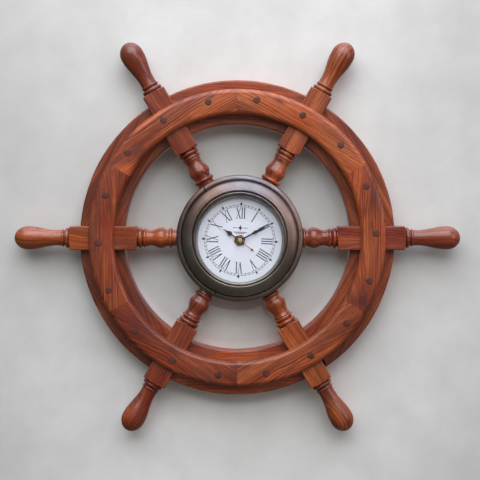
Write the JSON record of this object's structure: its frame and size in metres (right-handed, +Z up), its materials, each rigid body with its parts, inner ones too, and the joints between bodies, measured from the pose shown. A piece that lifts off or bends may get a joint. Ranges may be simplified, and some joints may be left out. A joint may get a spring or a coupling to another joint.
{
  "type": "ship wheel wall clock",
  "caption": "Wooden ship's wheel wall clock: turned spokes with grips join a hub to a two-layer felloe rim, with a round metal-cased quartz clock in the hub.",
  "frame": {"origin": "centre of the wheel on the wall plane, which is the back face of the rear cover, the hub and the back ring", "axes": "+Z up along the 12 o'clock direction of the wheel, +X to the viewer's right, -Y out of the wall towards the viewer"},
  "size_m": [0.457, 0.0434, 0.3986],
  "materials": {
    "rim_wood": "varnished reddish brown sheesham with dark streaks",
    "spoke_wood": "varnished reddish brown sheesham, turned",
    "plug_wood": "dark end-grain plugs",
    "plywood": "plain plywood, unvarnished",
    "antique_copper": "antique copper plate, satin",
    "dark_metal": "dark satin",
    "plated_screw": "zinc plate",
    "brass": "lacquered brass",
    "steel": "plain steel",
    "clear_glass": "clear float glass",
    "black_rubber": "matt",
    "dial_white": "printed white card on aluminium, matt",
    "black_plastic": "moulded black plastic",
    "nylon": "natural nylon",
    "acetal": "natural acetal",
    "battery_jacket": "printed steel can",
    "board_green": "solder-masked board",
    "coil_copper": "enamelled copper wire",
    "magnet_dark": "bonded magnet on a plastic arbor",
    "black_hand": "black paint on aluminium",
    "red_hand": "dark red paint on aluminium"
  },
  "bodies": {
    "wheel_and_case": {"back_felloe_1": "rim_wood", "back_felloe_2": "rim_wood", "back_felloe_3": "rim_wood", "back_felloe_4": "rim_wood", "back_felloe_5": "rim_wood", "back_felloe_6": "rim_wood", "face_felloe_1": "rim_wood", "face_felloe_2": "rim_wood", "face_felloe_3": "rim_wood", "face_felloe_4": "rim_wood", "face_felloe_5": "rim_wood", "face_felloe_6": "rim_wood", "spoke_1": "spoke_wood", "spoke_2": "spoke_wood", "spoke_3": "spoke_wood", "spoke_4": "spoke_wood", "spoke_5": "spoke_wood", "spoke_6": "spoke_wood", "hub": "spoke_wood", "rear_cover": "plywood", "rear_cover_screws": "brass", "felloe_screws": "steel", "wood_plugs": "plug_wood", "hanger_plate": "brass", "hanger_screws": "brass", "case_flange": "antique_copper", "flange_screws": "plated_screw", "bezel": "antique_copper", "gasket": "black_rubber", "glass": "clear_glass", "dial_ring": "dark_metal", "dial": "dial_white", "rubber_washer": "black_rubber", "fixing_nut": "brass", "threaded_bushing": "brass", "movement_front": "black_plastic", "movement_back": "black_plastic", "movement_plate": "nylon", "battery": "battery_jacket", "battery_contacts": "steel", "circuit_board": "board_green", "coil": "coil_copper", "stator": "steel"},
    "minute_arbor": {"cannon_pinion": "acetal", "minute_hand": "black_hand"},
    "hour_arbor": {"hour_wheel": "acetal", "hour_hand": "black_hand"},
    "setting_arbor": {"setting_wheel": "acetal", "set_knob": "black_plastic"},
    "seconds_arbor": {"seconds_wheel": "nylon", "seconds_hand": "red_hand", "seconds_cap": "brass"},
    "third_arbor": {"third_wheel": "nylon"},
    "friction_wheel": {"centre_wheel": "nylon"},
    "step_arbor": {"step_wheel": "nylon"},
    "rotor_arbor": {"rotor": "magnet_dark"}
  },
  "joints": [
    {"name": "minute_turn", "type": "hinge", "parent": "wheel_and_case", "child": "minute_arbor", "pos_m": [0.0025, -0.0294, -0.002], "axis": [0, 1, 0], "continuous": true},
    {"name": "hour_turn", "type": "hinge", "parent": "wheel_and_case", "child": "hour_arbor", "pos_m": [0.0025, -0.0294, -0.002], "axis": [0, 1, 0], "continuous": true},
    {"name": "setting_turn", "type": "hinge", "parent": "wheel_and_case", "child": "setting_arbor", "pos_m": [0.0025, -0.0294, 0.01], "axis": [0, 1, 0], "continuous": true},
    {"name": "seconds_turn", "type": "hinge", "parent": "wheel_and_case", "child": "seconds_arbor", "pos_m": [0.0025, -0.0294, -0.002], "axis": [0, 1, 0], "continuous": true},
    {"name": "third_turn", "type": "hinge", "parent": "wheel_and_case", "child": "third_arbor", "pos_m": [0.0133, -0.0294, -0.002], "axis": [0, 1, 0], "continuous": true},
    {"name": "friction_turn", "type": "hinge", "parent": "wheel_and_case", "child": "friction_wheel", "pos_m": [0.0025, -0.0294, -0.002], "axis": [0, 1, 0], "continuous": true},
    {"name": "step_turn", "type": "hinge", "parent": "wheel_and_case", "child": "step_arbor", "pos_m": [-0.0083, -0.0294, -0.002], "axis": [0, 1, 0], "continuous": true},
    {"name": "rotor_turn", "type": "hinge", "parent": "wheel_and_case", "child": "rotor_arbor", "pos_m": [-0.01325, -0.0294, 0.00295], "axis": [0, 1, 0], "continuous": true}
  ],
  "couplings": [
    {"joint": "hour_turn", "follows": "minute_turn", "ratio": 0.083333},
    {"joint": "setting_turn", "follows": "minute_turn", "ratio": -0.33333},
    {"joint": "third_turn", "follows": "seconds_turn", "ratio": -0.125},
    {"joint": "friction_turn", "follows": "seconds_turn", "ratio": 0.016667},
    {"joint": "step_turn", "follows": "seconds_turn", "ratio": -5},
    {"joint": "rotor_turn", "follows": "seconds_turn", "ratio": 30}
  ]
}
